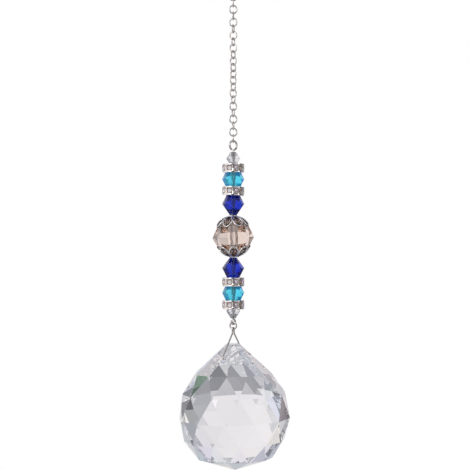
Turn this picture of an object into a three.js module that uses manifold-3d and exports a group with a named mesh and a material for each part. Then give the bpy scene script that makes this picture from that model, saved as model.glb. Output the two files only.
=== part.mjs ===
// Crystal suncatcher: a faceted crystal ball hangs on a wire bail under a pin of coloured
// crystal beads, and the pin hangs on a fine link chain that ends in a plain hanging ring.
// Millimetres, +Z up. The origin is the inside top of the hanging ring, where it bears on a hook.
// Every height is worked out downwards from there. Seen from -Y, +X is to the right.

import * as THREE from "three";
import { ConvexGeometry } from "three/addons/geometries/ConvexGeometry.js";
import { mergeVertices } from "three/addons/utils/BufferGeometryUtils.js";
import Module from "manifold-3d";

const wasm = await Module();
wasm.setup();

// ---------------------------------------------------------------- driving dimensions (mm)

const CLEARANCE = 0.05; // air between pieces that bear on each other

const HANGING_RING = { width: 10, wire: 1, sides: 8, steps: 20 };

const LINK = { count: 28, width: 2.27, height: 2.57, wire: 0.38, sides: 5, steps: 12 };
const CHAIN_TWIST_DEG = 90; // how far the chain is twisted between its straight ends
const TWISTED_LINKS = 20;

const PIN = { wire: 0.56, upperEye: 3.06, lowerEye: 1.88, planeDeg: 40, sides: 6 };
const PIN_NECK = 0.3; // bare wire between the upper eye and the first bead
const BEAD_BORE = 0.9;

const CLEAR_BEAD = { width: 3.9, end: 1.45, halfHeight: 1.9, facets: 8, girdle: 0.15 };
const CLEAR_SHOWN_ABOVE = 3.25; // the rest of the bead sits in the rondelle's dish
const CLEAR_SHOWN_BELOW = 2.55;
const TEAL_BEAD = { width: 6.1, end: 4.22, halfHeight: 2.1, facets: 8, girdle: 0.2 };
const TEAL_SHOWN = 3.8;
const COBALT_BEAD = { width: 6.1, facets: 8, girdle: 0.2 };
const COBALT_BLUNT = { end: 3.4, height: 2.75 };
const COBALT_SHARP = { end: 2, height: 2.95 };
const COBALT_SHOWN = 5.4;

const RONDELLE = { width: 6.04, height: 2.4, bore: 1.8, segments: 16, stones: 8, stone: 1.5 };
const RONDELLE_DISH = { rim: 5.2, depth: 1.1 };
const RONDELLE_GROOVE = { depth: 0.42, height: 1.6 };
const SECOND_RONDELLE_LEAN_DEG = 3;

// The centre bead's rings of facet corners; its lower half is like the upper one.
const CENTRE_BEAD = { facets: 8, bore: 1.2 };
const CENTRE_GIRDLE = { radius: 5.7, height: -0.35, turn: 0 };
const CENTRE_SHOULDER = { radius: 4.3, height: 2.8, turn: 0 };
const CENTRE_CROWN = { radius: 3.3, height: 4.1, turn: 1 };
const CENTRE_END = { radius: 1.7, height: 5.15, turn: 0 };
const CENTRE_LEAN_DEG = -2.5;
const CAP = { petals: 8, wire: 0.42, bore: 1.2, rim: 9.3, depth: 3.05, steps: 10 };
const CAP_HUB = { width: 2.9, height: 0.34 };
const CENTRE_GROUP_HEIGHT = 11.45; // over both caps

const JUMP_RING = { width: 2.35, wire: 0.45, sides: 6, steps: 14 };

const BALL_FACETS = 12;
// Rings of facet corners: radius, height above the girdle, and half a facet's turn or none.
const BALL_TOP = { radius: 1.75, height: 20.6, turn: 1 };
const BALL_NECK = { radius: 10.5, height: 12.6, turn: 1 };
const BALL_SHOULDER = { radius: 14.1, height: 7.1, turn: 0 };
const BALL_GIRDLE = { radius: 15.3, height: 0.4, turn: 1 };
const BALL_BELLY = { radius: 13.8, height: -5.6, turn: 0 };
const BALL_FOOT = { radius: 10.3, height: -10.4, turn: 1 };
const BALL_POLE = { radius: 0, height: -13.9, turn: 0 };
const BALL_TURN_DEG = 5.6; // how far a shoulder corner is turned from the front
const BALL_LEAN_DEG = 1; // it hangs a little out of true
const HOLE = { diameter: 1.4, height: 16.45 };

const BAIL = { wire: 0.45, crown: 0.5, neck: 0.68, flare: 0.8, legDeg: 46.4, sides: 6 };
const BAIL_DROP = 8.1; // from the crown's wire to the hooks' wire
const HOOK = { bend: 0.5, tip: 4.6 }; // bend radius, and the tip's distance from the middle

// ---------------------------------------------------------------- finishes

const finish = (color, roughness, metalness) =>
  new THREE.MeshStandardMaterial({ color, roughness, metalness, flatShading: true });

const SILVER_WIRE = finish(0xa9a6a3, 0.3, 1);
const ANTIQUE_SILVER = finish(0x8f8b86, 0.4, 1);
const RHINESTONE_METAL = finish(0xb9aca6, 0.25, 1);
const CLEAR_CRYSTAL = finish(0xe6e6ee, 0.05, 0);
const TEAL_CRYSTAL = finish(0x32aabb, 0.05, 0);
const COBALT_CRYSTAL = finish(0x253bb5, 0.05, 0);
const CHAMPAGNE_CRYSTAL = finish(0xd8c6bc, 0.05, 0);

// ---------------------------------------------------------------- joining and cutting

function solidOf(geometry) {
  const bare = geometry.index ? geometry.toNonIndexed() : geometry.clone();
  bare.deleteAttribute("normal");
  bare.deleteAttribute("uv");
  const merged = mergeVertices(bare, 1e-4);
  return new wasm.Manifold(
    new wasm.Mesh({
      numProp: 3,
      vertProperties: new Float32Array(merged.attributes.position.array),
      triVerts: new Uint32Array(merged.index.array),
    }),
  );
}

function geometryOf(solid) {
  const mesh = solid.getMesh();
  const geometry = new THREE.BufferGeometry();
  geometry.setAttribute("position", new THREE.BufferAttribute(mesh.vertProperties, 3));
  geometry.setIndex(new THREE.BufferAttribute(mesh.triVerts, 1));
  geometry.computeVertexNormals();
  return geometry;
}

// ---------------------------------------------------------------- shared shapes

const radians = THREE.MathUtils.degToRad;

// Points of an arc in the plane of a bent wire: across is x, up is y.
function arc(acrossCentre, upCentre, radius, fromDeg, toDeg, steps) {
  const points = [];
  for (let i = 0; i <= steps; i++) {
    const angle = radians(fromDeg + ((toDeg - fromDeg) * i) / steps);
    points.push(
      new THREE.Vector2(
        acrossCentre + radius * Math.cos(angle),
        upCentre + radius * Math.sin(angle),
      ),
    );
  }
  return points;
}

// A bent wire: a polygon section swept along points that lie in the XZ plane.
function bentWire(points, diameter, sides) {
  const corners = points.map((p) => new THREE.Vector3(p.x, 0, p.y));
  const smooth = new THREE.CatmullRomCurve3(corners, false, "centripetal");
  // The sweep takes one ring of the section at each given corner, and none between.
  smooth.getPointAt = (u) => smooth.getPoint(u);
  smooth.getTangentAt = (u) => smooth.getTangent(u);
  const section = new THREE.Shape(arc(0, 0, diameter / 2, 0, 360 - 360 / sides, sides - 1));
  return new THREE.ExtrudeGeometry(section, {
    steps: corners.length - 1,
    extrudePath: smooth,
    bevelEnabled: false,
  });
}

// A closed ring of round wire, standing in the XZ plane about its own centre. It is round
// unless its height is given.
function wireRing({ width, height = width, wire, sides, steps }) {
  const radius = (width - wire) / 2;
  const stretch = (height - width) / 2;
  const geometry = new THREE.TorusGeometry(radius, wire / 2, sides, steps);
  const position = geometry.attributes.position;
  for (let i = 0; i < position.count; i++) {
    const x = position.getX(i);
    const y = position.getY(i);
    position.setY(i, y + (stretch * y) / Math.hypot(x, y));
  }
  return geometry.rotateX(Math.PI / 2);
}

// Corners of one ring of facets round the Z axis, counted from the front (-Y).
function facetCorners({ radius, height, turn }, facets, turnDeg = 0) {
  if (radius === 0) return [new THREE.Vector3(0, 0, height)];
  return Array.from({ length: facets }, (_, k) => {
    const angle = radians(turnDeg) + ((k + turn / 2) * 2 * Math.PI) / facets;
    return new THREE.Vector3(radius * Math.sin(angle), -radius * Math.cos(angle), height);
  });
}

function cutCrystal(rings, facets, turnDeg = 0) {
  return solidOf(new ConvexGeometry(rings.flatMap((ring) => facetCorners(ring, facets, turnDeg))));
}

function uprightBore(diameter, length) {
  const rod = new THREE.CylinderGeometry(diameter / 2, diameter / 2, length, 10);
  return solidOf(rod.rotateX(Math.PI / 2));
}

// Two faceted cones base to base, with a zigzag girdle, bored through.
function doubleCone({ width, facets, girdle }, top, bottom) {
  const rings = [
    { radius: top.end / 2, height: top.height, turn: 0 },
    { radius: width / 2, height: girdle / 2, turn: 0 },
    { radius: width / 2, height: -girdle / 2, turn: 1 },
    { radius: bottom.end / 2, height: -bottom.height, turn: 1 },
  ];
  const length = 3 * (top.height + bottom.height);
  return geometryOf(cutCrystal(rings, facets).subtract(uprightBore(BEAD_BORE, length)));
}

// ---------------------------------------------------------------- beads and metal between them

function evenBead(size) {
  const cone = { end: size.end, height: size.halfHeight };
  return doubleCone(size, cone, cone);
}

// The blunt end faces a rondelle, the sharp end faces the big centre bead.
function cobaltBead(bluntEndUp) {
  return bluntEndUp
    ? doubleCone(COBALT_BEAD, COBALT_BLUNT, COBALT_SHARP)
    : doubleCone(COBALT_BEAD, COBALT_SHARP, COBALT_BLUNT);
}

function centreBead() {
  const { facets, bore } = CENTRE_BEAD;
  const above = [CENTRE_SHOULDER, CENTRE_CROWN, CENTRE_END];
  const below = above.map((ring) => ({ ...ring, height: -ring.height }));
  const crystal = cutCrystal([CENTRE_GIRDLE, ...above, ...below], facets);
  return geometryOf(crystal.subtract(uprightBore(bore, 3 * CENTRE_END.height)));
}

// A metal ring dished on both faces, with a groove round its rim that holds the stones.
function rondelle() {
  const { width, height, bore, segments, stones, stone } = RONDELLE;
  const outer = width / 2;
  const face = height / 2;
  const groove = outer - RONDELLE_GROOVE.depth;
  const halfProfile = [
    [bore / 2, face - RONDELLE_DISH.depth],
    [RONDELLE_DISH.rim / 2, face],
    [outer, face],
    [outer, RONDELLE_GROOVE.height / 2],
    [groove, RONDELLE_GROOVE.height / 2],
  ];
  const upper = halfProfile.map(([r, z]) => new THREE.Vector2(r, z));
  const lower = halfProfile.map(([r, z]) => new THREE.Vector2(r, -z)).reverse();
  const profile = [...upper, ...lower, upper[0]].reverse();
  const ring = new THREE.LatheGeometry(profile, segments).rotateX(Math.PI / 2);
  let solid = solidOf(ring);
  for (let k = 0; k < stones; k++) {
    const crown = new THREE.CylinderGeometry(stone * 0.3, stone / 2, RONDELLE_GROOVE.depth * 0.9, 6);
    crown.rotateX(Math.PI / 2).rotateX(Math.PI / 2);
    crown.translate(0, -groove - RONDELLE_GROOVE.depth * 0.35, 0);
    crown.rotateZ(((k + 0.5) * 2 * Math.PI) / stones);
    solid = solid.add(solidOf(crown));
  }
  return geometryOf(solid);
}

// A bead cap: open petals of wire that follow the dome of the bead, joined by a flat hub.
// It is made as the upper cap, and its hub's upper face is at height 0.
function beadCap(turn) {
  const { petals, wire, bore, rim, depth, steps } = CAP;
  const disc = new THREE.CylinderGeometry(CAP_HUB.width / 2, CAP_HUB.width / 2, CAP_HUB.height, petals);
  disc.rotateX(Math.PI / 2).translate(0, 0, -CAP_HUB.height / 2);
  let solid = solidOf(disc).subtract(uprightBore(bore, depth));
  const inner = CAP_HUB.width / 2 - wire / 2;
  const outer = rim / 2 - wire / 2;
  const drop = depth - wire;
  for (let k = 0; k < petals; k++) {
    const loop = new THREE.TorusGeometry(1, wire / 2, 4, steps);
    const position = loop.attributes.position;
    for (let i = 0; i < position.count; i++) {
      const x = position.getX(i);
      const y = position.getY(i);
      const along = Math.hypot(x, y);
      const reach = -y / along;
      const side = x / along;
      const offset = along - 1;
      // The loop's middle line lies on the dome; the wire's own thickness is added to it.
      const share = (1 + reach) / 2;
      const radius = inner + (outer - inner) * Math.sin((share * Math.PI) / 2) + offset * reach;
      const height = -wire / 2 - drop * (1 - Math.cos((share * Math.PI) / 2)) + position.getZ(i);
      const spread = (Math.PI / petals) * 0.92 * side * Math.sqrt(share + 0.06) + (offset * side) / outer;
      const angle = spread + ((k + turn / 2) * 2 * Math.PI) / petals;
      position.setXYZ(i, radius * Math.sin(angle), -radius * Math.cos(angle), height);
    }
    solid = solid.add(solidOf(loop));
  }
  return geometryOf(solid);
}

// ---------------------------------------------------------------- bent wires

// An eye at the top of a pin, about its own centre: the neck bends out, then the wire turns round.
function eyePoints(eye, wire, openDeg, steps) {
  const radius = (eye - wire) / 2;
  const bend = radius / 2.2;
  const neckDrop = Math.sqrt(radius * radius + 2 * radius * bend);
  const contactDeg = THREE.MathUtils.radToDeg(Math.asin(bend / (radius + bend)));
  const neck = arc(bend, -neckDrop, bend, 180, 90 + contactDeg, 3);
  const loop = arc(0, 0, radius, contactDeg - 90, 270 - openDeg, steps);
  return { neckDrop, points: [...neck, ...loop.slice(1)] };
}

function eyePin(upperEyeCentre, lowerEyeCentre) {
  const upper = eyePoints(PIN.upperEye, PIN.wire, 26, 15);
  const lower = eyePoints(PIN.lowerEye, PIN.wire, 52, 12);
  const upperPoints = upper.points.map((p) => new THREE.Vector2(p.x, upperEyeCentre + p.y));
  const lowerPoints = lower.points.map((p) => new THREE.Vector2(p.x, lowerEyeCentre - p.y)).reverse();
  return bentWire([...lowerPoints, ...upperPoints], PIN.wire, PIN.sides);
}

// The bail is even on both sides of its crown. Its hooks end inside the ball's hole.
function bail(crownCentre) {
  const { wire, crown, neck, flare, legDeg, sides } = BAIL;
  const { bend, tip } = HOOK;
  const flareStart = crownCentre - neck;
  const flareArc = arc(crown + flare, flareStart, flare, 180, 180 + legDeg, 3);
  const hookWire = crownCentre + crown - BAIL_DROP;
  const hookTop = hookWire + bend + bend * Math.sin(radians(legDeg));
  const flareEnd = flareArc[flareArc.length - 1];
  const hookAcross = flareEnd.x + (flareEnd.y - hookTop) * Math.tan(radians(legDeg));
  const hookCentre = hookAcross - bend * Math.cos(radians(legDeg));
  const half = [
    ...arc(0, crownCentre, crown, 90, 0, 4),
    ...flareArc,
    ...arc(hookCentre, hookWire + bend, bend, legDeg, -90, 6),
    new THREE.Vector2(tip, hookWire),
  ];
  const otherHalf = half.slice(1).map((p) => new THREE.Vector2(-p.x, p.y)).reverse();
  return bentWire([...otherHalf, ...half], wire, sides);
}

// ---------------------------------------------------------------- the crystal ball

// The hole comes out in the middle of the neck facet to the left of the front.
const holeTurn = radians(BALL_TURN_DEG) - (2 * Math.PI) / BALL_FACETS;

function crystalBall() {
  const rings = [BALL_TOP, BALL_NECK, BALL_SHOULDER, BALL_GIRDLE, BALL_BELLY, BALL_FOOT, BALL_POLE];
  const length = 2 * BALL_NECK.radius;
  const bore = new THREE.CylinderGeometry(HOLE.diameter / 2, HOLE.diameter / 2, length, 10);
  bore.rotateZ(holeTurn).translate(0, 0, HOLE.height);
  return cutCrystal(rings, BALL_FACETS, BALL_TURN_DEG).subtract(solidOf(bore));
}

// ---------------------------------------------------------------- assembly, from the top down

const suncatcher = new THREE.Group();

function place(name, geometry, material, height, turn = 0, lean = 0) {
  const mesh = new THREE.Mesh(geometry, material);
  mesh.name = name;
  mesh.position.z = height;
  mesh.rotation.set(0, lean, turn, "YXZ");
  suncatcher.add(mesh);
  return mesh;
}

const two = (n) => String(n).padStart(2, "0");

// The hanging ring stands in the XZ plane, with the origin at its inside top.
const ringInside = HANGING_RING.width - 2 * HANGING_RING.wire;
place("hanging_ring", wireRing(HANGING_RING), SILVER_WIRE, -ringInside / 2);

// The first link hangs in the ring's inside bottom, crosswise to it, and each link in the last.
const linkInside = LINK.height / 2 - LINK.wire;
const linkPitch = 2 * linkInside - CLEARANCE;
const firstLink = -ringInside + CLEARANCE - linkInside;
const lastLink = firstLink - (LINK.count - 1) * linkPitch;
for (let i = 0; i < LINK.count; i++) {
  const straightBelow = LINK.count - 1 - i;
  const twist = (radians(CHAIN_TWIST_DEG) * Math.min(straightBelow, TWISTED_LINKS)) / TWISTED_LINKS;
  const crosswise = straightBelow % 2 === 0 ? Math.PI / 2 : 0;
  const height = firstLink - i * linkPitch;
  place(`chain_link_${two(i + 1)}`, wireRing(LINK), SILVER_WIRE, height, crosswise + twist);
}

// The pin's upper eye hangs in the last link.
const upperEyeCentre = lastLink - linkInside + CLEARANCE - (PIN.upperEye / 2 - PIN.wire);
const upperEyeBottom = upperEyeCentre - PIN.upperEye / 2;

// The beads and rondelles, each resting in the dish of the one below it.
const clearUpper = upperEyeBottom - PIN_NECK - CLEAR_BEAD.halfHeight;
place("clear_bead_upper", evenBead(CLEAR_BEAD), CLEAR_CRYSTAL, clearUpper);

const rondelleTop1 = upperEyeBottom - PIN_NECK - CLEAR_SHOWN_ABOVE;
place("rondelle_1", rondelle(), RHINESTONE_METAL, rondelleTop1 - RONDELLE.height / 2);

const tealUpperTop = rondelleTop1 - RONDELLE.height;
place("teal_bead_upper", evenBead(TEAL_BEAD), TEAL_CRYSTAL, tealUpperTop - TEAL_SHOWN / 2);

const rondelleTop2 = tealUpperTop - TEAL_SHOWN;
const secondLean = radians(SECOND_RONDELLE_LEAN_DEG);
place("rondelle_2", rondelle(), RHINESTONE_METAL, rondelleTop2 - RONDELLE.height / 2, 0, secondLean);

const cobaltUpperTop = rondelleTop2 - RONDELLE.height;
const cobaltReach = COBALT_SHOWN - COBALT_SHARP.height;
place("cobalt_bead_upper", cobaltBead(true), COBALT_CRYSTAL, cobaltUpperTop - cobaltReach);

const capTop = cobaltUpperTop - COBALT_SHOWN - CLEARANCE;
const centreHeight = capTop - CENTRE_GROUP_HEIGHT / 2;
const centreLean = radians(CENTRE_LEAN_DEG);
const centre = new THREE.Group();
centre.position.z = centreHeight;
centre.rotation.y = centreLean;
suncatcher.add(centre);
const bead = new THREE.Mesh(centreBead(), CHAMPAGNE_CRYSTAL);
bead.name = "champagne_bead";
const capAbove = new THREE.Mesh(beadCap(1), ANTIQUE_SILVER);
capAbove.name = "bead_cap_upper";
capAbove.position.z = CENTRE_GROUP_HEIGHT / 2;
const capBelow = new THREE.Mesh(beadCap(0), ANTIQUE_SILVER);
capBelow.name = "bead_cap_lower";
capBelow.position.z = -CENTRE_GROUP_HEIGHT / 2;
capBelow.rotation.y = Math.PI;
centre.add(bead, capAbove, capBelow);

const cobaltLowerTop = capTop - CENTRE_GROUP_HEIGHT - CLEARANCE;
place("cobalt_bead_lower", cobaltBead(false), COBALT_CRYSTAL, cobaltLowerTop - COBALT_SHARP.height);

const rondelleTop3 = cobaltLowerTop - COBALT_SHOWN;
place("rondelle_3", rondelle(), RHINESTONE_METAL, rondelleTop3 - RONDELLE.height / 2);

const tealLowerTop = rondelleTop3 - RONDELLE.height;
place("teal_bead_lower", evenBead(TEAL_BEAD), TEAL_CRYSTAL, tealLowerTop - TEAL_SHOWN / 2);

const rondelleTop4 = tealLowerTop - TEAL_SHOWN;
place("rondelle_4", rondelle(), RHINESTONE_METAL, rondelleTop4 - RONDELLE.height / 2);

const clearLowerBottom = rondelleTop4 - RONDELLE.height - CLEAR_SHOWN_BELOW;
place("clear_bead_lower", evenBead(CLEAR_BEAD), CLEAR_CRYSTAL, clearLowerBottom + CLEAR_BEAD.halfHeight);

// One wire carries all the beads, with an eye at each end.
const lowerEyeCentre = clearLowerBottom - CLEARANCE - PIN.lowerEye / 2;
const pinTurn = radians(PIN.planeDeg);
place("eye_pin", eyePin(upperEyeCentre, lowerEyeCentre), SILVER_WIRE, 0, pinTurn);

// The jump ring hangs in the lower eye, crosswise to the bail that hangs in it.
const jumpRadius = (JUMP_RING.width - JUMP_RING.wire) / 2;
const lowerEyeInside = lowerEyeCentre - PIN.lowerEye / 2 + PIN.wire;
const jumpCentre = lowerEyeInside + CLEARANCE + JUMP_RING.wire / 2 - jumpRadius;
place("jump_ring", wireRing(JUMP_RING), SILVER_WIRE, jumpCentre, holeTurn);

// The bail's crown goes round the jump ring's wire.
const crownCentre = jumpCentre - jumpRadius;
place("bail", bail(crownCentre), SILVER_WIRE, 0, holeTurn + Math.PI / 2);

// The ball hangs on the two hooks of the bail, in the top of its hole.
const hookWire = crownCentre + BAIL.crown - BAIL_DROP;
const holeHeight = hookWire + BAIL.wire / 2 + CLEARANCE - HOLE.diameter / 2;
const ballLean = new THREE.Group();
ballLean.position.z = holeHeight;
ballLean.rotation.y = -radians(BALL_LEAN_DEG);
const ball = new THREE.Mesh(geometryOf(crystalBall()), CLEAR_CRYSTAL);
ball.name = "crystal_ball";
ball.position.z = -HOLE.height;
ballLean.add(ball);
suncatcher.add(ballLean);

export default suncatcher;
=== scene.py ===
# %% [markdown]
# # A crystal suncatcher
# A suncatcher hangs in a window and throws coloured light into the room. This one is a cut
# crystal ball on a bent wire bail, under a string of small crystal beads, under a fine chain.
# The shapes were fixed first as plain solids. This lesson loads them and dresses them: glass
# where there is glass, round bent wire where there is wire, and fine silver work between.

# %% Load the solids
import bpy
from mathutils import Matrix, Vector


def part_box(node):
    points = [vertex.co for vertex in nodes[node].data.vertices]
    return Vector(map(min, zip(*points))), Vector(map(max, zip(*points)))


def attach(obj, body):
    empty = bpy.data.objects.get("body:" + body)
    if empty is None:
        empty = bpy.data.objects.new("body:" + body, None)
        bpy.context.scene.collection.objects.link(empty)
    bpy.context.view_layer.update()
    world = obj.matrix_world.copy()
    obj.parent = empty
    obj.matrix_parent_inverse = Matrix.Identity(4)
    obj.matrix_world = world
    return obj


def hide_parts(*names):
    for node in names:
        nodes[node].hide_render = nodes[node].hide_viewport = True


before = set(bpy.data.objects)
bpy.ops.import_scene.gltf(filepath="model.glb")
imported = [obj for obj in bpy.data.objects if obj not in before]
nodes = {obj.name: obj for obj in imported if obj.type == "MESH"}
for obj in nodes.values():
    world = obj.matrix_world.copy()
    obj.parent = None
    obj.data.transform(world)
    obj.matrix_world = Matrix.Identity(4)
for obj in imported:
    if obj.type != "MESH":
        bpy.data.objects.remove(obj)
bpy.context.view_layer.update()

# %% [markdown]
# Blender works in metres, and this piece is made in millimetres and tenths of them. Every
# length below is written in millimetres and turned into metres at the last moment.

# %% Modules and the millimetre
import math
import random

import bpy
from mathutils import Matrix, Vector

MM = 0.001


def middle(node_name):
    """The middle of a solid's box, in millimetres."""
    low, high = (Vector(corner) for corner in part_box(node_name))
    return (low + high) / (2 * MM)


print("the ball's middle is at", [round(v, 2) for v in middle("crystal_ball")], "mm")

# %% [markdown]
# An operator acts on everything that is selected, and the loaded solids are all selected. The
# first tool therefore lets go of everything. The next ones pick mesh parts by their place.

# %% Selecting by code
def let_go():
    for obj in bpy.context.selected_objects:
        obj.select_set(False)


def hold(obj):
    let_go()
    obj.select_set(True)
    bpy.context.view_layer.objects.active = obj


def edit(obj, mode="VERT"):
    """Opens a mesh for editing, with nothing in it selected."""
    hold(obj)
    bpy.ops.object.mode_set(mode="EDIT")
    bpy.ops.mesh.select_mode(type=mode)
    bpy.ops.mesh.select_all(action="DESELECT")


def done():
    if bpy.context.object and bpy.context.object.mode == "EDIT":
        bpy.ops.object.mode_set(mode="OBJECT")


def pick(obj, kind, test):
    """Selects the vertices, edges or faces whose middle, in millimetres, passes the test."""
    done()
    edit(obj, kind)
    done()
    mesh = obj.data
    corners = mesh.vertices
    places = {
        "VERT": lambda v: v.co,
        "EDGE": lambda e: (corners[e.vertices[0]].co + corners[e.vertices[1]].co) / 2,
        "FACE": lambda f: f.center,
    }
    parts = {"VERT": corners, "EDGE": mesh.edges, "FACE": mesh.polygons}[kind]
    count = 0
    for part in parts:
        part.select = bool(test(places[kind](part) / MM))
        count += part.select
    bpy.ops.object.mode_set(mode="EDIT")
    return count


def settle(obj):
    """Moves an object's place into its mesh, so that the object itself sits at the origin."""
    hold(obj)
    bpy.ops.object.transform_apply(location=True, rotation=True, scale=True)
    return obj


print("tools for selecting are ready")

# %% [markdown]
# A modifier shapes the whole mesh by a rule. Each is added, set and applied at once, so that
# nothing stays live on a finished piece.

# %% Modifiers, copies and joins
def modify(obj, kind, **settings):
    hold(obj)
    modifier = obj.modifiers.new(kind.title(), kind)
    for name, value in settings.items():
        setattr(modifier, name, value)
    bpy.ops.object.modifier_apply(modifier=modifier.name)


def copy_of(obj, name, move=Matrix.Identity(4)):
    """A copy with a mesh of its own, carried by a matrix in millimetres."""
    twin = obj.copy()
    twin.data = obj.data.copy()
    twin.name = twin.data.name = name
    bpy.context.scene.collection.objects.link(twin)
    shift = Matrix.Translation(move.to_translation() * MM)
    twin.matrix_world = shift @ move.to_3x3().to_4x4()
    return settle(twin)


def join(name, *objects):
    let_go()
    for obj in objects:
        obj.select_set(True)
    bpy.context.view_layer.objects.active = objects[0]
    if len(objects) > 1:
        bpy.ops.object.join()
    joined = bpy.context.object
    joined.name = joined.data.name = name
    return joined


def turn_about_z(degrees):
    return Matrix.Rotation(math.radians(degrees), 4, "Z")


def faces_out(obj, merge=1e-6):
    edit(obj)
    bpy.ops.mesh.select_all(action="SELECT")
    bpy.ops.mesh.remove_doubles(threshold=merge)
    bpy.ops.mesh.normals_make_consistent(inside=False)
    done()
    return obj


def smooth(obj, degrees=35):
    hold(obj)
    bpy.ops.object.shade_smooth_by_angle(angle=math.radians(degrees))
    return obj


print("tools for shaping are ready")

# %% [markdown]
# ## Finishes
# Each finish is a small tree of shader nodes. One function adds a node with its settings and
# its links. Colours are written as on a paint card, in sRGB hex, and turned to linear light.

# %% Colours and nodes
def paint(hex_code):
    channels = [int(hex_code[i : i + 2], 16) / 255 for i in (1, 3, 5)]
    linear = [c / 12.92 if c <= 0.04045 else ((c + 0.055) / 1.055) ** 2.4 for c in channels]
    return (*linear, 1.0)


def add_node(tree, kind, settings=None, links=None):
    node = tree.nodes.new("ShaderNode" + kind)
    for name, value in (settings or {}).items():
        if isinstance(name, str) and hasattr(node, name):
            setattr(node, name, value)
        else:
            node.inputs[name].default_value = value
    for name, source in (links or {}).items():
        tree.links.new(source, node.inputs[name])
    return node


def new_finish(name):
    """A material with an empty tree and the object's own coordinates in millimetres."""
    material = bpy.data.materials.new(name)
    material.use_nodes = True
    tree = material.node_tree
    tree.nodes.clear()
    place = add_node(tree, "TexCoord").outputs["Object"]
    scaled = add_node(tree, "Mapping", {"Scale": (1 / MM,) * 3}, {"Vector": place})
    return material, tree, scaled.outputs["Vector"]


def finish_with(tree, shader, volume=None):
    links = {"Surface": shader.outputs[0]}
    if volume:
        links["Volume"] = volume.outputs[0]
    add_node(tree, "OutputMaterial", links=links)


print("a mid grey #808080 is", round(paint("#808080")[0], 3), "in linear light")

# %% [markdown]
# ### Silver-plated wire
# The chain, the eyes, the rings and the bail are brass wire, drawn, bent and plated with a
# hard bright silver. Handling leaves a thin uneven warm film, so the colour and the gloss both
# wander a little from one millimetre to the next, which keeps the wire from looking painted.
# The die leaves lines a few hundredths of a millimetre apart. They wouldn't show, so they are
# drawn a tenth of a millimetre apart, as a faint shimmer.

# %% Finish: plated wire
def metal_finish(name, light, dark, patch_mm, gloss, rough, scratch_mm, depth_mm):
    material, tree, place = new_finish(name)
    patch = add_node(tree, "TexNoise", {"Scale": 1 / patch_mm, "Detail": 3.0}, {"Vector": place})
    colour = add_node(tree, "ValToRGB", links={"Fac": patch.outputs["Fac"]})
    colour.color_ramp.elements[0].position = 0.35
    colour.color_ramp.elements[0].color = paint(dark)
    colour.color_ramp.elements[1].position = 0.65
    colour.color_ramp.elements[1].color = paint(light)
    haze = add_node(
        tree,
        "MapRange",
        {"From Min": 0.3, "From Max": 0.7, "To Min": rough, "To Max": gloss},
        {"Value": patch.outputs["Fac"]},
    )
    lines = add_node(tree, "TexNoise", {"Scale": 1 / scratch_mm, "Detail": 2.0}, {"Vector": place})
    relief = add_node(
        tree,
        "Bump",
        {"Strength": 0.4, "Distance": depth_mm * MM},
        {"Height": lines.outputs["Fac"]},
    )
    shader = add_node(
        tree,
        "BsdfPrincipled",
        {"Metallic": 1.0},
        {
            "Base Color": colour.outputs["Color"],
            "Roughness": haze.outputs["Result"],
            "Normal": relief.outputs["Normal"],
        },
    )
    finish_with(tree, shader)
    return material


plated_wire = metal_finish(
    "silver_plated_drawn_wire",
    light="#e6e2df",
    dark="#c2bab4",
    patch_mm=0.8,
    gloss=0.06,
    rough=0.16,
    scratch_mm=0.12,
    depth_mm=0.0015,
)
print(plated_wire.name)

# %% [markdown]
# ### Antique silver
# The bead caps are cast, blackened in a sulphur bath and rubbed back, so the tops of the
# wires are bright and their sides and the hollows stay dark. The caps' own "height" attribute,
# set when they are made, says how far a point stands out: -1 at the bead and 1 at the top.
# The grain of the casting is finer than a tenth of a millimetre, and is drawn coarser to show.

# %% Finish: antique silver
def antique_finish(name):
    material, tree, place = new_finish(name)
    height = add_node(tree, "Attribute", {"attribute_name": "height"}).outputs["Fac"]
    grain = add_node(tree, "TexNoise", {"Scale": 1 / 0.25, "Detail": 4.0}, {"Vector": place})
    rubbed = add_node(
        tree, "Math", {"operation": "MULTIPLY_ADD", 1: 0.5}, {0: grain.outputs["Fac"], 2: height}
    )
    colour = add_node(tree, "ValToRGB", links={"Fac": rubbed.outputs[0]})
    colour.color_ramp.elements[0].position = 0.9
    colour.color_ramp.elements[0].color = paint("#181514")
    colour.color_ramp.elements[1].position = 1.0
    colour.color_ramp.elements[1].color = paint("#f2efed")
    haze = add_node(
        tree,
        "MapRange",
        {"From Min": 0.3, "From Max": 0.9, "To Min": 0.5, "To Max": 0.14},
        {"Value": rubbed.outputs[0]},
    )
    relief = add_node(
        tree, "Bump", {"Strength": 0.5, "Distance": 0.01 * MM}, {"Height": grain.outputs["Fac"]}
    )
    shader = add_node(
        tree,
        "BsdfPrincipled",
        {"Metallic": 1.0},
        {
            "Base Color": colour.outputs["Color"],
            "Roughness": haze.outputs["Result"],
            "Normal": relief.outputs["Normal"],
        },
    )
    finish_with(tree, shader)
    return material


antique_silver = antique_finish("antiqued_cast_silver")
rondelle_metal = metal_finish(
    "silver_plated_stamped_brass",
    light="#f8f6f4",
    dark="#e2dcd7",
    patch_mm=0.8,
    gloss=0.05,
    rough=0.14,
    scratch_mm=0.2,
    depth_mm=0.0015,
)
print(antique_silver.name, rondelle_metal.name)

# %% [markdown]
# ### Lead crystal
# Cut crystal is clear glass with a high refractive index and a machine polish, so its surface
# is plain: all of its life comes from the facets bending and throwing back the room. Coloured
# crystal is dyed through and through. Its colour deepens with the length of the light's way
# inside, which is what volume absorption does and a painted surface can't.

# %% Finish: crystal
CRYSTAL_IOR = 1.55


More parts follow.
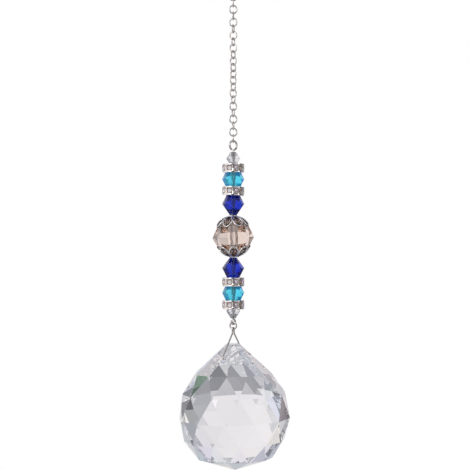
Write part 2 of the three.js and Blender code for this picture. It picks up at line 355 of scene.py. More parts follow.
def crystal_finish(name, surface="#ffffff", dye=None, per_mm=0.0, fire=False):
    """Polished crystal: surface tints what crosses a facet, the dye what goes through it."""
    material, tree, place = new_finish(name)
    shader = add_node(
        tree,
        "BsdfPrincipled",
        {
            "Base Color": paint(surface),
            "Roughness": 0.0,
            "IOR": CRYSTAL_IOR,
            "Transmission Weight": 1.0,
        },
    )
    ripple = add_node(tree, "TexNoise", {"Scale": 1 / 3.0, "Detail": 1.0}, {"Vector": place})
    polish = add_node(
        tree, "Bump", {"Strength": 0.15, "Distance": 0.01 * MM}, {"Height": ripple.outputs["Fac"]}
    )
    tree.links.new(polish.outputs["Normal"], shader.inputs["Normal"])
    # With fire, the facets' fire attribute holds painted fire tints and one painted dark
    # reflection, which show where a facet is met at a low angle. Its alpha darkens facets a little,
    # at random.
    if fire:
        facet = add_node(tree, "VertexColor", {"layer_name": "fire"}).outputs
        facing = add_node(tree, "LayerWeight", {"Blend": 0.5}).outputs["Facing"]
        low = add_node(tree, "MapRange", {"From Min": 0.25, "From Max": 0.6}, {"Value": facing})
        links = {"Fac": low.outputs[0], "Color2": facet["Color"]}
        tint = add_node(tree, "MixRGB", {"Color1": paint(surface)}, links).outputs[0]
        links = {"Color1": tint, "Color2": facet["Alpha"]}
        toned = add_node(tree, "MixRGB", {"blend_type": "MULTIPLY", "Fac": 1.0}, links)
        tree.links.new(toned.outputs[0], shader.inputs["Base Color"])
    body = None
    if dye:
        body = add_node(tree, "VolumeAbsorption", {"Color": paint(dye), "Density": per_mm / MM})
    finish_with(tree, shader, body)
    return material


clear_crystal = crystal_finish("clear_lead_crystal_cut_and_polished", fire=True)
pale_crystal = crystal_finish("pale_crystal_cut_and_polished", dye="#f0f0fa", per_mm=0.02)
teal_crystal = crystal_finish("teal_crystal_cut_and_polished", dye="#50f4ff", per_mm=0.47)
cobalt_crystal = crystal_finish("cobalt_crystal_cut_and_polished", dye="#1a98f4", per_mm=0.96)
champagne_crystal = crystal_finish(
    "champagne_crystal_cut_and_polished", surface="#fff8f4", dye="#f5e8dd", per_mm=0.095
)


def bore_finish(name):
    """The wall of a drilled hole is never polished, so it is frosted and blurs the wire in it.

    The diamond grit's marks are a few hundredths of a millimetre wide, and are drawn coarser.
    """
    material, tree, place = new_finish(name)
    grit = add_node(tree, "TexNoise", {"Scale": 1 / 0.15, "Detail": 2.0}, {"Vector": place})
    colour = add_node(tree, "ValToRGB", links={"Fac": grit.outputs["Fac"]})
    colour.color_ramp.elements[0].color = paint("#e4e4e8")
    colour.color_ramp.elements[1].color = paint("#fafafc")
    shader = add_node(
        tree,
        "BsdfPrincipled",
        {"Roughness": 0.5, "IOR": CRYSTAL_IOR, "Transmission Weight": 1.0},
        {"Base Color": colour.outputs["Color"]},
    )
    finish_with(tree, shader)
    return material


drilled_bore = bore_finish("drilled_unpolished_crystal")
print("crystal with a refractive index of", CRYSTAL_IOR)

# %% [markdown]
# ### Rhinestones
# The tiny stones in the rondelles are moulded glass with a vapour-thin metal coat, which
# splits white light into pink, gold and blue as the angle changes. Cycles has that as a thin
# film on the shader: its thickness, in millionths of a millimetre, chooses the colours.

# %% Finish: coated rhinestone
def rhinestone_finish(name):
    material, tree, place = new_finish(name)
    shader = add_node(
        tree,
        "BsdfPrincipled",
        {
            "Base Color": paint("#ffffff"),
            "Roughness": 0.02,
            "IOR": CRYSTAL_IOR,
            "Transmission Weight": 1.0,
            "Thin Film Thickness": 420.0,
            "Thin Film IOR": 2.0,
        },
    )
    finish_with(tree, shader)
    return material


rhinestone = rhinestone_finish("coated_rhinestone_glass")
stone_foil = metal_finish(
    "mirror_foil_behind_a_rhinestone",
    light="#fdf2e6",
    dark="#d8c0b4",
    patch_mm=0.6,
    gloss=0.03,
    rough=0.1,
    scratch_mm=0.3,
    depth_mm=0.0005,
)
print(rhinestone.name, stone_foil.name)

# %% [markdown]
# ## From a finish to a finished piece
# Each piece rides on the part's body, stands for the plain solids that it replaces, and
# takes its finish.

# %% Dressing a piece
def dress(piece, material, slot, *replaced):
    piece.data.materials.clear()
    piece.data.materials.append(material)
    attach(piece, "root")
    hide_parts(*replaced)
    print(piece.name, len(piece.data.polygons), "faces")


# %% [markdown]
# ## The crystals
# A cutter grinds each facet flat and polishes it, and the edges between facets come out crisp.
# The plain solids already have every facet, so a copy is merged and its flat triangles are
# dissolved back into whole facets. The beads are tumbled in a drum, which softens their edges
# the least bit, so they get a narrow bevel. The ball is cut by hand and keeps its sharp edges.
# The small beads' holes are left as the drill made them, so their walls are frosted.

# %% Polished crystals
def polished(node_name, piece_name, edge_mm):
    """A copy of a crystal's solid, with whole facets and with edges softened by edge_mm."""
    source = nodes[node_name]
    piece = source.copy()
    piece.data = source.data.copy()
    piece.parent = None
    piece.name = piece.data.name = piece_name
    bpy.context.scene.collection.objects.link(piece)
    hold(piece)
    bpy.ops.mesh.customdata_custom_splitnormals_clear()
    faces_out(piece)
    edit(piece, "FACE")
    bpy.ops.mesh.select_all(action="SELECT")
    bpy.ops.mesh.dissolve_limited(angle_limit=math.radians(0.5))
    done()
    hold(piece)
    bpy.ops.object.shade_flat()
    if edge_mm:
        modify(
            piece,
            "BEVEL",
            width=edge_mm * MM,
            segments=1,
            limit_method="ANGLE",
            angle_limit=math.radians(6),
            use_clamp_overlap=True,
        )
    return piece


BORE = 0.9
# For each crystal: its finish, its slot, its bevel in millimetres and whether its bore is frosted.
CRYSTALS = {
    "crystal_ball": (clear_crystal, "clear_crystal", 0, False),
    "clear_bead_upper": (pale_crystal, "clear_crystal", 0.02, True),
    "clear_bead_lower": (pale_crystal, "clear_crystal", 0.02, True),
    "teal_bead_upper": (teal_crystal, "teal_crystal", 0.03, True),
    "teal_bead_lower": (teal_crystal, "teal_crystal", 0.03, True),
    "cobalt_bead_upper": (cobalt_crystal, "cobalt_crystal", 0.03, True),
    "cobalt_bead_lower": (cobalt_crystal, "cobalt_crystal", 0.03, True),
    "champagne_bead": (champagne_crystal, "champagne_crystal", 0.04, False),
}
for node_name, (material, slot, edge_mm, matt_bore) in CRYSTALS.items():
    crystal = polished(node_name, "cut_" + node_name, edge_mm)
    dress(crystal, material, slot, node_name)
    if matt_bore:
        crystal.data.materials.append(drilled_bore)
        for face in crystal.data.polygons:
            if math.hypot(face.center.x, face.center.y) < (BORE / 2 + 0.01) * MM:
                face.material_index = 1

# %% [markdown]
# ### Fire
# Crystal bends blue light more than red, so a cut ball shows small patches of spectral
# colour, its fire. The glass in this renderer bends all colours alike and can't make them, so
# they are imitated: most facets get a faint tint, which shows where light crosses the facet
# at a low angle, as in the rim of the ball. Seen straight on a facet is clear. The alpha of
# the tint darkens each facet a little, by chance, because no two come out quite alike.

# %% The painted fire of the ball, and one painted dark reflection
FIRE = ("#d9e4ff", "#dff3fb", "#e4dfff", "#f4f4ff", "#fdf6e4", "#fbeeee")
FIRE_SHARE = 0.7
FIRE_SEED = 7
DARKEST_FACET = 0.93
# Painted glints of stronger fire, set on the front facets nearest to these places: millimetres
# across, up.
# The last one isn't fire but a painted dark reflection: a dark tint on one facet in place of a
# dark reflection that the room below doesn't give, and a reflection should come from the room:
# the facet is clearer without it.
PAINTED_FIRE_AND_DARK_REFLECTION = {
    "#70ff7c": (-9.0, -121.9),
    "#b4cdf5": (-9.5, -117.5),
    "#a4c4ff": (11.3, -125.6),
    "#6e6062": (13.9, -130.9),
}


def paint_fire_and_dark_reflection(piece, seed):
    chance = random.Random(seed)
    tint = piece.data.color_attributes.new("fire", "FLOAT_COLOR", "CORNER")
    facets = piece.data.polygons

    def height_and_turn(facet):
        turn = math.atan2(facet.center.y, facet.center.x)
        return round(facet.center.z / MM, 1), round(turn, 1)

    def colour_facet(facet, hex_code, tone):
        for corner in facet.loop_indices:
            tint.data[corner].color = (*paint(hex_code)[:3], tone)

    for facet in sorted(facets, key=height_and_turn):
        hex_code = chance.choice(FIRE) if chance.random() < FIRE_SHARE else "#ffffff"
        colour_facet(facet, hex_code, chance.uniform(DARKEST_FACET, 1.0))
    # Then the spots: glints of stronger painted fire, and one painted dark reflection.
    for hex_code, (x, z) in PAINTED_FIRE_AND_DARK_REFLECTION.items():
        spot = Vector((x, 0, z)) * MM
        front = [facet for facet in facets if facet.center.y < 0]
        colour_facet(
            min(front, key=lambda facet: (facet.center - spot).xz.length), hex_code, 1.0
        )


paint_fire_and_dark_reflection(bpy.data.objects["cut_crystal_ball"], FIRE_SEED)
print("fire on a share of", FIRE_SHARE, "of the facets")

# %% [markdown]
# ## Bent wire
# A jeweller bends wire on a jig: so much straight, then so many degrees round a peg. The tool
# below does the same. It takes a ring of points as the wire's section, extrudes it for each
# straight and spins it round a peg for each bend. Both ends are then closed.

# %% The bending jig
def bend_wire(name, wire, start, heading, moves, sides=12, step_deg=15):
    at, along = Vector(start), Vector(heading).normalized()
    let_go()
    bpy.ops.mesh.primitive_circle_add(
        vertices=sides,
        radius=wire / 2 * MM,
        fill_type="NOTHING",
        location=at * MM,
        rotation=along.to_track_quat("Z", "Y").to_euler(),
    )
    obj = settle(bpy.context.object)
    obj.name = obj.data.name = name
    edit(obj)
    bpy.ops.mesh.select_all(action="SELECT")
    for kind, *how in moves:
        if kind == "straight":
            step = along * how[0]
            bpy.ops.mesh.extrude_edges_move(TRANSFORM_OT_translate={"value": step * MM})
            at = at + step
            continue
        peg_radius, degrees, towards = how[0], how[1], Vector(how[2]).normalized()
        peg = at + towards * peg_radius
        axis = along.cross(towards)
        # Spin turns against the right-hand rule, so it is given the axis the other way round.
        bpy.ops.mesh.spin(
            steps=max(2, round(degrees / step_deg)),
            angle=math.radians(degrees),
            center=peg * MM,
            axis=-axis,
        )
        turned = Matrix.Rotation(math.radians(degrees), 3, axis)
        at = peg + turned @ (at - peg)
        along = turned @ along
    bpy.ops.mesh.select_mode(type="EDGE")
    bpy.ops.mesh.select_all(action="DESELECT")
    bpy.ops.mesh.select_non_manifold()
    bpy.ops.mesh.fill_holes(sides=0)
    done()
    faces_out(obj)
    return smooth(obj)


def oval_ring(name, width, height, wire, gap=0.03, sides=12, step_deg=15):
    """A ring bent round two pegs, upright in the XZ plane, its butt joint on the +X side."""
    peg = (width - wire) / 2
    half_side = (height - width) / 2
    start = (peg, 0, gap / 2)
    inward = Vector((-1, 0, 0))
    moves = []
    if half_side:
        moves.append(("straight", half_side - gap / 2))
    moves.append(("bend", peg, 180, inward))
    if half_side:
        moves.append(("straight", 2 * half_side))
    moves.append(("bend", peg, 180 if half_side else 180 - math.degrees(gap / peg), -inward))
    if half_side:
        moves.append(("straight", half_side - gap / 2))
    return bend_wire(name, wire, start, (0, 0, 1), moves, sides, step_deg)


print("the jig is ready")

# %% [markdown]
# ### The hanging ring and the chain
# Every link of the chain is the same oval of fine wire, closed with a butt joint that can
# just be seen. One is bent, then copied down the chain. The chain has been twisted a quarter
# turn over its middle, so each link is turned a little more than the one below it.

# %% Hanging ring
HANGING_RING = {"width": 10, "wire": 1}
bent_ring = oval_ring(
    "bent_ring",
    HANGING_RING["width"],
    HANGING_RING["width"],
    HANGING_RING["wire"],
    gap=0.05,
    sides=20,
    step_deg=6,
)
ring = copy_of(bent_ring, "hanging_ring_wire", Matrix.Translation(middle("hanging_ring")))
bpy.data.objects.remove(bent_ring)
dress(ring, plated_wire, "silver_wire", "hanging_ring")

# %% Chain links
LINK = {"width": 2.27, "height": 2.57, "wire": 0.38}
LINKS = 28
TWISTED_LINKS = 20
TWIST_DEG = 90
pattern_link = oval_ring("pattern_link", LINK["width"], LINK["height"], LINK["wire"])
for number in range(1, LINKS + 1):
    below = LINKS - number
    crosswise = 90 if below % 2 == 0 else 0
    turn = crosswise + TWIST_DEG * min(below, TWISTED_LINKS) / TWISTED_LINKS
    node_name = f"chain_link_{number:02d}"
    move = Matrix.Translation(middle(node_name)) @ turn_about_z(turn)
    link = copy_of(pattern_link, f"wire_link_{number:02d}", move)
    dress(link, plated_wire, "silver_wire", node_name)
bpy.data.objects.remove(pattern_link)

# %% [markdown]
# ### The eye pin
# One wire carries all the beads. It is turned into a closed eye at each end, after a small
# bend back that centres the eye over the wire, as round-nosed pliers leave it.

# %% Eye pin
PIN_WIRE = 0.56
PIN_TURN_DEG = 40
EYE_OVER_BEND = 2.2
UPPER_EYE = {"width": 3.06, "open_deg": 26}
LOWER_EYE = {"width": 1.88, "open_deg": 52}
pin_low, pin_high = (Vector(corner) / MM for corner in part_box("eye_pin"))
upper_eye_centre = pin_high.z - UPPER_EYE["width"] / 2
lower_eye_centre = pin_low.z + LOWER_EYE["width"] / 2


def eye_moves(eye, up):
    """How far an eye's centre is past its first bend, and its bends. At the top up is 1."""
    radius = (eye["width"] - PIN_WIRE) / 2
    peg = radius / EYE_OVER_BEND
    reach = math.sqrt(radius**2 + 2 * radius * peg)
    contact = math.degrees(math.asin(peg / (radius + peg)))
    first = 90 - contact
    lean = Matrix.Rotation(math.radians(first) * up, 3, "Y") @ Vector((0, 0, up))
    back = Vector((-lean.z, 0, lean.x)) * up
    round_deg = 360 - eye["open_deg"] - contact
    return reach, [("bend", peg, first, (1, 0, 0)), ("bend", radius, round_deg, back)]


upper_reach, upper_moves = eye_moves(UPPER_EYE, 1)
lower_reach, lower_moves = eye_moves(LOWER_EYE, -1)
shank_top = upper_eye_centre - upper_reach
shank_bottom = lower_eye_centre + lower_reach
middle_height = (shank_top + shank_bottom) / 2
upper_half = bend_wire(
    "upper_half",
    PIN_WIRE,
    (0, 0, middle_height),
    (0, 0, 1),
    [("straight", shank_top - middle_height), *upper_moves],
)
lower_half = bend_wire(
    "lower_half",
    PIN_WIRE,
    (0, 0, middle_height),
    (0, 0, -1),
    [("straight", middle_height - shank_bottom), *lower_moves],
)
pin_flat = join("pin_flat", upper_half, lower_half)
pin = copy_of(pin_flat, "eye_pin_wire", turn_about_z(PIN_TURN_DEG))
bpy.data.objects.remove(pin_flat)
dress(pin, plated_wire, "silver_wire", "eye_pin")
print("shank", round(shank_bottom, 2), "to", round(shank_top, 2), "mm")

# %% [markdown]
# ### Jump ring and bail
# A small jump ring joins the pin's lower eye to the bail. The bail is a springy wire bent
# sharply at its crown. Its two legs spread over the ball's shoulders and hook into the hole.

# %% Jump ring
BALL_TURN_DEG = 5.6
HOLE_TURN_DEG = BALL_TURN_DEG - 30
JUMP_RING = {"width": 2.35, "wire": 0.45}
jump_flat = oval_ring(
    "jump_flat",
    JUMP_RING["width"],
    JUMP_RING["width"],
    JUMP_RING["wire"],
    gap=0.04,
    sides=14,
    step_deg=10,
)
move = Matrix.Translation(middle("jump_ring")) @ turn_about_z(HOLE_TURN_DEG)
jump = copy_of(jump_flat, "jump_ring_wire", move)
bpy.data.objects.remove(jump_flat)
dress(jump, plated_wire, "silver_wire", "jump_ring")

# %% Bail
BAIL = {"wire": 0.45, "crown": 0.5, "neck": 0.68, "flare": 0.8, "leg_deg": 46.4, "drop": 8.1}
HOOK = {"bend": 0.5, "tip": 4.6}
bail_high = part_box("bail")[1][2] / MM
crown_centre = bail_high - BAIL["wire"] / 2 - BAIL["crown"]
leg = math.radians(BAIL["leg_deg"])
flare_end_x = BAIL["crown"] + BAIL["flare"] * (1 - math.cos(leg))
flare_end_z = crown_centre - BAIL["neck"] - BAIL["flare"] * math.sin(leg)
hook_wire = crown_centre + BAIL["crown"] - BAIL["drop"]
hook_top = hook_wire + HOOK["bend"] * (1 + math.sin(leg))
leg_length = (flare_end_z - hook_top) / math.cos(leg)
hook_x = flare_end_x + leg_length * math.sin(leg) - HOOK["bend"] * math.cos(leg)


def bail_half(side):
    """One leg, from the middle of the crown down to the tip of its hook."""
    out = Vector((side, 0, 0))
    across_leg = Vector((-side * math.cos(leg), 0, -math.sin(leg)))
    return bend_wire(
        "bail_half",
        BAIL["wire"],
        (0, 0, crown_centre + BAIL["crown"]),
        out,
        [
            ("bend", BAIL["crown"], 90, (0, 0, -1)),
            ("straight", BAIL["neck"]),
            ("bend", BAIL["flare"], BAIL["leg_deg"], out),
            ("straight", leg_length),
            ("bend", HOOK["bend"], 90 + BAIL["leg_deg"], across_leg),
            ("straight", hook_x - HOOK["tip"]),
        ],
    )


bail_flat = join("bail_flat", bail_half(1), bail_half(-1))
bail = copy_of(bail_flat, "bail_wire", turn_about_z(HOLE_TURN_DEG + 90))
bpy.data.objects.remove(bail_flat)
dress(bail, plated_wire, "silver_wire", "bail")

# %% [markdown]
# ## The rondelles
# A rondelle is a spacer: two dished metal rings with a channel between them, and a row of
# tiny stones set in the channel. The metal starts as a disc. Its faces are inset and sunk to
# make the dishes, the two sunk faces are bridged into the bore, and the rim's middle band is
# pushed in to make the channel, leaving a narrow post between one stone and the next.

# %% The metal of a rondelle
RONDELLE = {"width": 6.04, "height": 2.4, "bore": 1.8, "dish": 5.2, "sunk": 1.1}
CHANNEL = {"depth": 0.5, "height": 1.6}
STONES = 8
FACES_PER_STONE = 6


def rondelle_setting():
    radius, half = RONDELLE["width"] / 2, RONDELLE["height"] / 2
    let_go()
    bpy.ops.mesh.primitive_cylinder_add(
        vertices=STONES * FACES_PER_STONE, radius=radius * MM, depth=2 * half * MM
    )
    obj = bpy.context.object
    for face_side in (1, -1):
        pick(obj, "FACE", lambda p: abs(p.z - face_side * half) < 0.01)
        rim = radius - RONDELLE["dish"] / 2
        bpy.ops.mesh.inset(thickness=rim * MM, depth=0)
        run = (RONDELLE["dish"] - RONDELLE["bore"]) / 2
        bpy.ops.mesh.inset(thickness=run * MM, depth=-RONDELLE["sunk"] * MM)
    pick(obj, "FACE", lambda p: math.hypot(p.x, p.y) < 0.05)
    bpy.ops.mesh.bridge_edge_loops()
    for cut in (1, -1):
        bpy.ops.mesh.select_all(action="SELECT")
        bpy.ops.mesh.bisect(plane_co=(0, 0, cut * CHANNEL["height"] / 2 * MM), plane_no=(0, 0, 1))
    half_face = math.pi / (STONES * FACES_PER_STONE)

    def in_channel(p):
        angle = math.atan2(p.x, -p.y) / (2 * half_face)
        post = round(angle - 0.5) % FACES_PER_STONE == 0
        outside = math.hypot(p.x, p.y) > radius - 0.1
        return outside and abs(p.z) < CHANNEL["height"] / 2 and not post

    count = pick(obj, "FACE", in_channel)
    share = (radius - CHANNEL["depth"]) / radius
    bpy.ops.mesh.extrude_region_move()
    bpy.ops.transform.resize(value=(share, share, 1))
    done()
    faces_out(obj)
    modify(
        obj,
        "BEVEL",
        width=0.05 * MM,
        segments=2,
        limit_method="ANGLE",
        angle_limit=math.radians(40),
    )
    print("a rondelle's channel has", count, "faces for", STONES, "stones")
    return smooth(obj, 40)


setting = rondelle_setting()
setting.name = "pattern_setting"

# %% [markdown]
# A stone is a small round brilliant: an eight-sided crown with a flat table, and a pointed
# back. It starts as a cone cut short, and its base is drawn in to the point behind it.

# %% The stones of a rondelle
STONE = {"width": 1.66, "table": 0.86, "crown": 0.3, "back": 0.45, "below_rim": 0.05}
STONE_SIDES = 8


def rondelle_stones():
    table = RONDELLE["width"] / 2 - STONE["below_rim"]
    girdle = table - STONE["crown"]
    let_go()
    bpy.ops.mesh.primitive_cone_add(
        vertices=STONE_SIDES,
        radius1=STONE["width"] / 2 * MM,
        radius2=STONE["table"] / 2 * MM,
        depth=STONE["crown"] * MM,
        location=(0, -(table - STONE["crown"] / 2) * MM, 0),
        rotation=(math.radians(90), 0, 0),
    )
    stone = settle(bpy.context.object)
    pick(stone, "FACE", lambda p: abs(p.y + girdle) < 0.01)
    bpy.ops.mesh.extrude_region_move(TRANSFORM_OT_translate={"value": (0, STONE["back"] * MM, 0)})
    bpy.ops.transform.resize(value=(0.05, 0.05, 0.05))
    done()
    first = copy_of(stone, "first_stone", turn_about_z(360 / STONES / 2))
    bpy.data.objects.remove(stone)
    stones = [first]
    for number in range(1, STONES):
        stones.append(copy_of(first, "next_stone", turn_about_z(360 / STONES * number)))
    row = join("pattern_stones", *stones)
    faces_out(row)
    hold(row)
    bpy.ops.object.shade_flat()
    for face in row.data.polygons:
        away = math.hypot(face.center.x, face.center.y) / MM
        face.material_index = int(away < girdle - 0.02)
    return row


stones = rondelle_stones()
print("stones", len(stones.data.polygons), "faces")

# %% Four rondelles
LEANING_RONDELLE = 2
LEAN_DEG = 3
for number in range(1, 5):
    node_name = f"rondelle_{number}"
    move = Matrix.Translation(middle(node_name))
    if number == LEANING_RONDELLE:
        move = move @ Matrix.Rotation(math.radians(LEAN_DEG), 4, "Y")
    metal = copy_of(setting, f"rondelle_{number}_setting", move)
    dress(metal, rondelle_metal, "rhinestone_rondelle", node_name)
    row = copy_of(stones, f"rondelle_{number}_stones", move)
    backs = [face.material_index for face in row.data.polygons]
    dress(row, rhinestone, "rhinestone_rondelle", node_name)
    row.data.materials.append(stone_foil)
    for face, back in zip(row.data.polygons, backs):
        face.material_index = back
bpy.data.objects.remove(setting)
bpy.data.objects.remove(stones)

# %% [markdown]
# ## The bead caps
# Each end of the large bead sits in a cap: eight open petals of cast silver that follow the
# bead's dome, joined by a small pierced boss. One petal is drawn as a flat outline, tapered
# towards the boss and curled over the dome. Then the line is given a round section.

# %% One petal
CAP = {"petals": 8, "wire": 0.42, "hub": 2.9, "bore": 1.2, "plate": 2.6, "plate_height": 0.2}
HUB_WIRE, LIP_WIRE = 0.4, 0.26
DOME = 4.93
PETAL = {"start": 1.256, "end": 5.524, "width": 2.55, "taper": 0.7}
SCROLL = {"start": 2.456, "end": 4.824, "width": 1.1, "taper": 0.6, "wire": 0.28}


def petal_line(shape, corners):
    """An oval line drawing, upright along X, curled over the dome and laid down."""
    start, end = shape["start"], shape["end"]
    let_go()
    bpy.ops.mesh.primitive_circle_add(
        vertices=corners,
        radius=MM / 2,
        fill_type="NOTHING",
        location=((start + end) / 2 * MM, 0, 0),
    )
    obj = bpy.context.object
    obj.scale = (end - start, shape["width"], 1)
    settle(obj)
    pick(obj, "VERT", lambda p: p.x < (start + end) / 2 - 0.3 * (end - start))
    bpy.ops.transform.resize(value=(1, shape["taper"], 1))
    done()
    obj.rotation_euler.x = math.radians(90)
    settle(obj)
    angle = (end - start) / DOME
    modify(obj, "SIMPLE_DEFORM", deform_method="BEND", deform_axis="Z", angle=angle)
    obj.rotation_euler.x = math.radians(-90)
    return settle(obj)


def as_wire(obj, wire, sides=3):
    """Gives a line drawing a round section."""
    hold(obj)
    bpy.ops.object.convert(target="CURVE")
    obj = bpy.context.object
    obj.data.bevel_depth = wire / 2 * MM
    obj.data.bevel_resolution = sides
    hold(obj)
    bpy.ops.object.convert(target="MESH")
    return bpy.context.object


outline = as_wire(petal_line(PETAL, 28), CAP["wire"])
scroll = as_wire(petal_line(SCROLL, 20), SCROLL["wire"])
petal = faces_out(join("petal", outline, scroll))
print("petal", [round(v / MM, 2) for v in petal.dimensions], "mm")

# %% A whole cap
def bead_cap(name, place, half_turn):
    parts = []
    for number in range(CAP["petals"]):
        turn = 360 / CAP["petals"] * (number + (0.5 if half_turn else 0)) - 90
        parts.append(copy_of(petal, "cap_petal", turn_about_z(turn)))
    hub = (CAP["hub"] / 2 - HUB_WIRE / 2, HUB_WIRE, 32, 10)
    lip = (CAP["bore"] / 2 + LIP_WIRE / 2, LIP_WIRE, 24, 8)
    for radius, wire, steps, sides in (hub, lip):
        let_go()
        bpy.ops.mesh.primitive_torus_add(
            major_radius=radius * MM,
            minor_radius=wire / 2 * MM,
            major_segments=steps,
            minor_segments=sides,
        )
        parts.append(bpy.context.object)
    let_go()
    bpy.ops.mesh.primitive_cylinder_add(
        vertices=24, radius=CAP["plate"] / 2 * MM, depth=CAP["plate_height"] * MM
    )
    plate = bpy.context.object
    pick(plate, "FACE", lambda p: abs(abs(p.z) - CAP["plate_height"] / 2) < 0.01)
    bpy.ops.mesh.inset(thickness=(CAP["plate"] - CAP["bore"]) / 2 * MM)
    bpy.ops.mesh.bridge_edge_loops()
    done()
    parts.append(faces_out(plate))
    cap = faces_out(join("cap_flat", *parts), 1e-8)
    stands_out = cap.data.attributes.new("height", "FLOAT", "POINT")
    dome_middle = Vector((0, 0, -DOME))
    for vertex, value in zip(cap.data.vertices, stands_out.data):
        over_dome = (vertex.co / MM - dome_middle).length - DOME
        value.value = max(-1.0, min(1.0, over_dome / (CAP["wire"] / 2)))
    lowered = copy_of(cap, name, place @ Matrix.Translation((0, 0, -CAP["wire"] / 2)))
    bpy.data.objects.remove(cap)
    return smooth(lowered, 50)


CENTRE_LEAN_DEG = -2.5
CENTRE_GROUP = 11.45
lean = Matrix.Rotation(math.radians(CENTRE_LEAN_DEG), 4, "Y")
group_height = (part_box("bead_cap_upper")[1][2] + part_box("bead_cap_lower")[0][2]) / (2 * MM)
centre = Matrix.Translation((0, 0, group_height)) @ lean
cap_above = bead_cap(
    "filigree_cap_upper", centre @ Matrix.Translation((0, 0, CENTRE_GROUP / 2)), True
)
dress(cap_above, antique_silver, "antique_silver", "bead_cap_upper")
over = Matrix.Rotation(math.pi, 4, "Y")
cap_below = bead_cap(
    "filigree_cap_lower", centre @ Matrix.Translation((0, 0, -CENTRE_GROUP / 2)) @ over, False
)
dress(cap_below, antique_silver, "antique_silver", "bead_cap_lower")
bpy.data.objects.remove(petal)

# %% [markdown]
# ## The studio
# A clear thing shows only what is around it. A wide white wall stands behind the suncatcher
# and ends a little to its right, with a dark card beside it. Above it is a grey ceiling and
# below it a darker skirting. The room is lighter on the left, where the window is, and darker
# on the right, where a doorway stands open. Facets and bent wire pick up these tones, and what
# mirrors the front also mirrors the dark camera. Past the object the camera sees plain white.
#
# The room is painted in layers. Each has a colour and soft edges. An edge is a direction, then
# where the layer starts along it and where it is full. A layer shows where all its edges let it.

# %% Room light
WAYS = {"across": (1, 0, 0), "ahead": (0, 1, 0), "up": (0, 0, 1), "slant": (1, 0, -0.5)}
BARE_ROOM = "#d2d4d8"
WALL = [
    ("slant", 0.56, 0.28),
    ("across", -0.76, -0.62),
    ("ahead", 0.1, 0.35),
    ("up", -0.56, -0.3),
    ("up", 0.62, 0.42),
]
CARD = [("slant", 0.7, 0.8), ("up", -0.08, -0.2), ("up", -0.56, -0.46), ("ahead", 0.3, 0.5)]
WINDOW = [("across", -0.62, -0.8), ("ahead", 0.3, 0.1), ("up", -0.45, -0.25)]
DOORWAY = [("across", 0.62, 0.8), ("ahead", 0.35, 0.15), ("up", -0.3, -0.1)]
ROOM = {
    "right side": ("#a3a5ab", [("across", -0.6, 0.6)]),
    "ceiling": ("#bfc1c8", [("up", 0.42, 0.62)]),
    "skirting": ("#9d9da3", [("up", -0.36, -0.6)]),
    "dark end of the skirting": ("#77777f", [("up", -0.42, -0.66), ("across", -0.1, 0.3)]),
    "floor": ("#cfd0d4", [("up", -0.7, -0.82)]),
    "dark card": ("#44444c", CARD),
    "wall": ("#f6f3f5", WALL),
    "far end of the wall": ("#eae7ea", [*WALL, ("across", -0.5, 0.35)]),
    "front": ("#c0c0c5", [("ahead", -0.1, -0.5)]),
    "window": ("#ffffff", WINDOW),
    "dark doorway": ("#5e5a5c", DOORWAY),
}
CAMERA_COLOUR = "#303032"
CAMERA = ("ahead", -0.93, -0.98)


def soft_steps(tree, way, edges, share=None):
    """How much of a layer shows in a direction: the product of its soft edges."""
    for axis, start, end in edges:
        lies = add_node(tree, "VectorMath", {"operation": "DOT_PRODUCT", 1: WAYS[axis]}, {0: way})
        edge = add_node(
            tree,
            "MapRange",
            {"interpolation_type": "SMOOTHSTEP", "From Min": start, "From Max": end},
            {"Value": lies.outputs["Value"]},
        )
        if share:
            edge = add_node(tree, "Math", {"operation": "MULTIPLY"}, {0: share, 1: edge.outputs[0]})
        share = edge.outputs[0]
    return share


def room():
    """Paints the layers one over another, then the camera, then plain white past the object."""
    world = bpy.data.worlds.new("white_room")
    bpy.context.scene.world = world
    world.use_nodes = True
    tree = world.node_tree
    tree.nodes.clear()
    way = add_node(tree, "TexCoord").outputs["Generated"]
    light = add_node(tree, "LightPath").outputs
    mirrored = add_node(
        tree,
        "Math",
        {"operation": "SUBTRACT", "use_clamp": True},
        {0: light["Is Glossy Ray"], 1: light["Is Transmission Ray"]},
    )
    unbent = add_node(
        tree,
        "Math",
        {"operation": "MAXIMUM"},
        {0: light["Is Camera Ray"], 1: light["Is Diffuse Ray"]},
    )
    layers = [(colour, soft_steps(tree, way, edges)) for colour, edges in ROOM.values()]
    layers.append((CAMERA_COLOUR, soft_steps(tree, way, [CAMERA], mirrored.outputs[0])))
    layers.append(("#ffffff", unbent.outputs[0]))
    bare = add_node(tree, "RGB")
    bare.outputs[0].default_value = paint(BARE_ROOM)
    shown = bare.outputs[0]
    for colour, share in layers:
        links = {"Fac": share, "Color1": shown}
        shown = add_node(tree, "MixRGB", {"Color2": paint(colour)}, links).outputs["Color"]
    sky = add_node(tree, "Background", {"Strength": 1.0}, {"Color": shown})
    add_node(tree, "OutputWorld", links={"Surface": sky.outputs[0]})


room()
print("the room is painted in", len(ROOM), "layers")

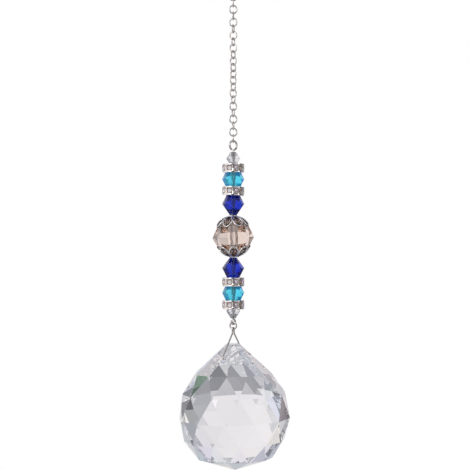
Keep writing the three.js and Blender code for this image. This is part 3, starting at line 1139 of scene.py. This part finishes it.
# %% Softboxes
def softbox(name, place, size, brightness):
    """A square lamp that faces the beads. Its power follows from how bright it should look."""
    lamp = bpy.data.lights.new(name, "AREA")
    lamp.size = size * MM
    lamp.energy = brightness * math.pi * lamp.size**2
    box = bpy.data.objects.new(name, lamp)
    bpy.context.scene.collection.objects.link(box)
    box.location = Vector(place) * MM
    box.visible_transmission = False
    aim = middle("champagne_bead") * MM - box.location
    box.rotation_euler = aim.to_track_quat("-Z", "Y").to_euler()
    print(name, round(lamp.energy, 2), "W")


softbox("key_softbox", (-300, -450, 120), 260, 3.0)
softbox("fill_softbox", (480, -260, 40), 200, 2.0)

# %% [markdown]
# The floor lies far below, as it does under anything hung in a window. The glass and the
# metal don't see it, because the painted room already has a floor for them.

# %% Floor
FLOOR_Z, FLOOR_RADIUS = -1200, 1150
let_go()
bpy.ops.mesh.primitive_circle_add(
    vertices=64, radius=FLOOR_RADIUS * MM, fill_type="NGON", location=(0, 0, FLOOR_Z * MM)
)
floor = settle(bpy.context.object)
floor.name = "pale_floor"
floor.visible_transmission = floor.visible_glossy = False
material, tree, place = new_finish("pale_painted_floor")
matt = add_node(tree, "BsdfPrincipled", {"Base Color": paint("#f4f3f1"), "Roughness": 0.8})
finish_with(tree, matt)
floor.data.materials.append(material)
print("floor", FLOOR_Z, "mm down")

# %% [markdown]
# The camera stands level with the large bead, a third of a metre away, and looks straight on.
# Its lens is as long as it has to be to see a square of 128 millimetres there.
# Light goes round inside a cut ball many times before it finds a way out, and light that is
# dropped too early leaves black specks, so it is followed for many bounces.

# %% Camera
CAMERA_SIDE, CAMERA_AWAY, CAMERA_HEIGHT = 0.49, 330, -82.67
VIEW_MM = 128.17
SENSOR_MM = 36
BOUNCES = 128
camera_data = bpy.data.cameras.new("viewer")
camera = bpy.data.objects.new("viewer", camera_data)
bpy.context.scene.collection.objects.link(camera)
camera.location = Vector((CAMERA_SIDE, -CAMERA_AWAY, CAMERA_HEIGHT)) * MM
camera.rotation_euler = (math.radians(90), 0, 0)
camera_data.sensor_width = SENSOR_MM
camera_data.lens = SENSOR_MM * CAMERA_AWAY / VIEW_MM
bpy.context.scene.camera = camera
scene = bpy.context.scene
scene.view_settings.view_transform = "Standard"
scene.cycles.max_bounces = BOUNCES
scene.cycles.transmission_bounces = BOUNCES
scene.cycles.glossy_bounces = BOUNCES
print("lens", round(camera_data.lens, 1), "mm")
